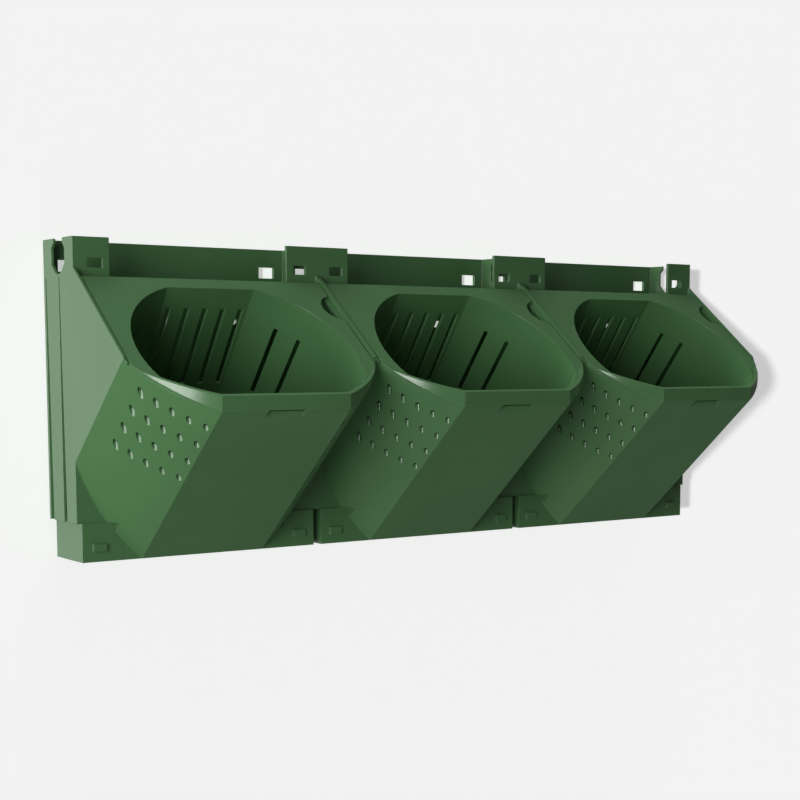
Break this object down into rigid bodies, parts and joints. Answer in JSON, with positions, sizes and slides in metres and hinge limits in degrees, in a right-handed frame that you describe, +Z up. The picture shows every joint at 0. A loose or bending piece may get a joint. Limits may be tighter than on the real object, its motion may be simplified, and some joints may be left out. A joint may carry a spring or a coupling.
{
  "type": "wall planter",
  "caption": "Wall-mounted planter row: lift-out pots in sloping perforated pockets, with stacking tabs, click nubs and a drip-pipe channel along the back.",
  "frame": {"origin": "middle of the back panel's wall face", "axes": "+X along the row to the right as seen from the front, +Y into the wall, +Z up; the pots open towards -Y and up"},
  "size_m": [0.45, 0.1309, 0.172],
  "materials": {
    "body_plastic": "satin dark green polypropylene",
    "pot_plastic": "satin dark green polypropylene"
  },
  "bodies": {
    "row": {"planter_body": "body_plastic"},
    "pot_left": {"pot_left": "pot_plastic"},
    "pot_middle": {"pot_middle": "pot_plastic"},
    "pot_right": {"pot_right": "pot_plastic"}
  },
  "joints": [
    {"name": "pot_left_lift", "type": "slide", "parent": "row", "child": "pot_left", "axis": [0, -0.6198, 0.7848], "range_m": [0, 0.1]},
    {"name": "pot_middle_lift", "type": "slide", "parent": "row", "child": "pot_middle", "axis": [0, -0.6198, 0.7848], "range_m": [0, 0.1]},
    {"name": "pot_right_lift", "type": "slide", "parent": "row", "child": "pot_right", "axis": [0, -0.6198, 0.7848], "range_m": [0, 0.1]}
  ]
}
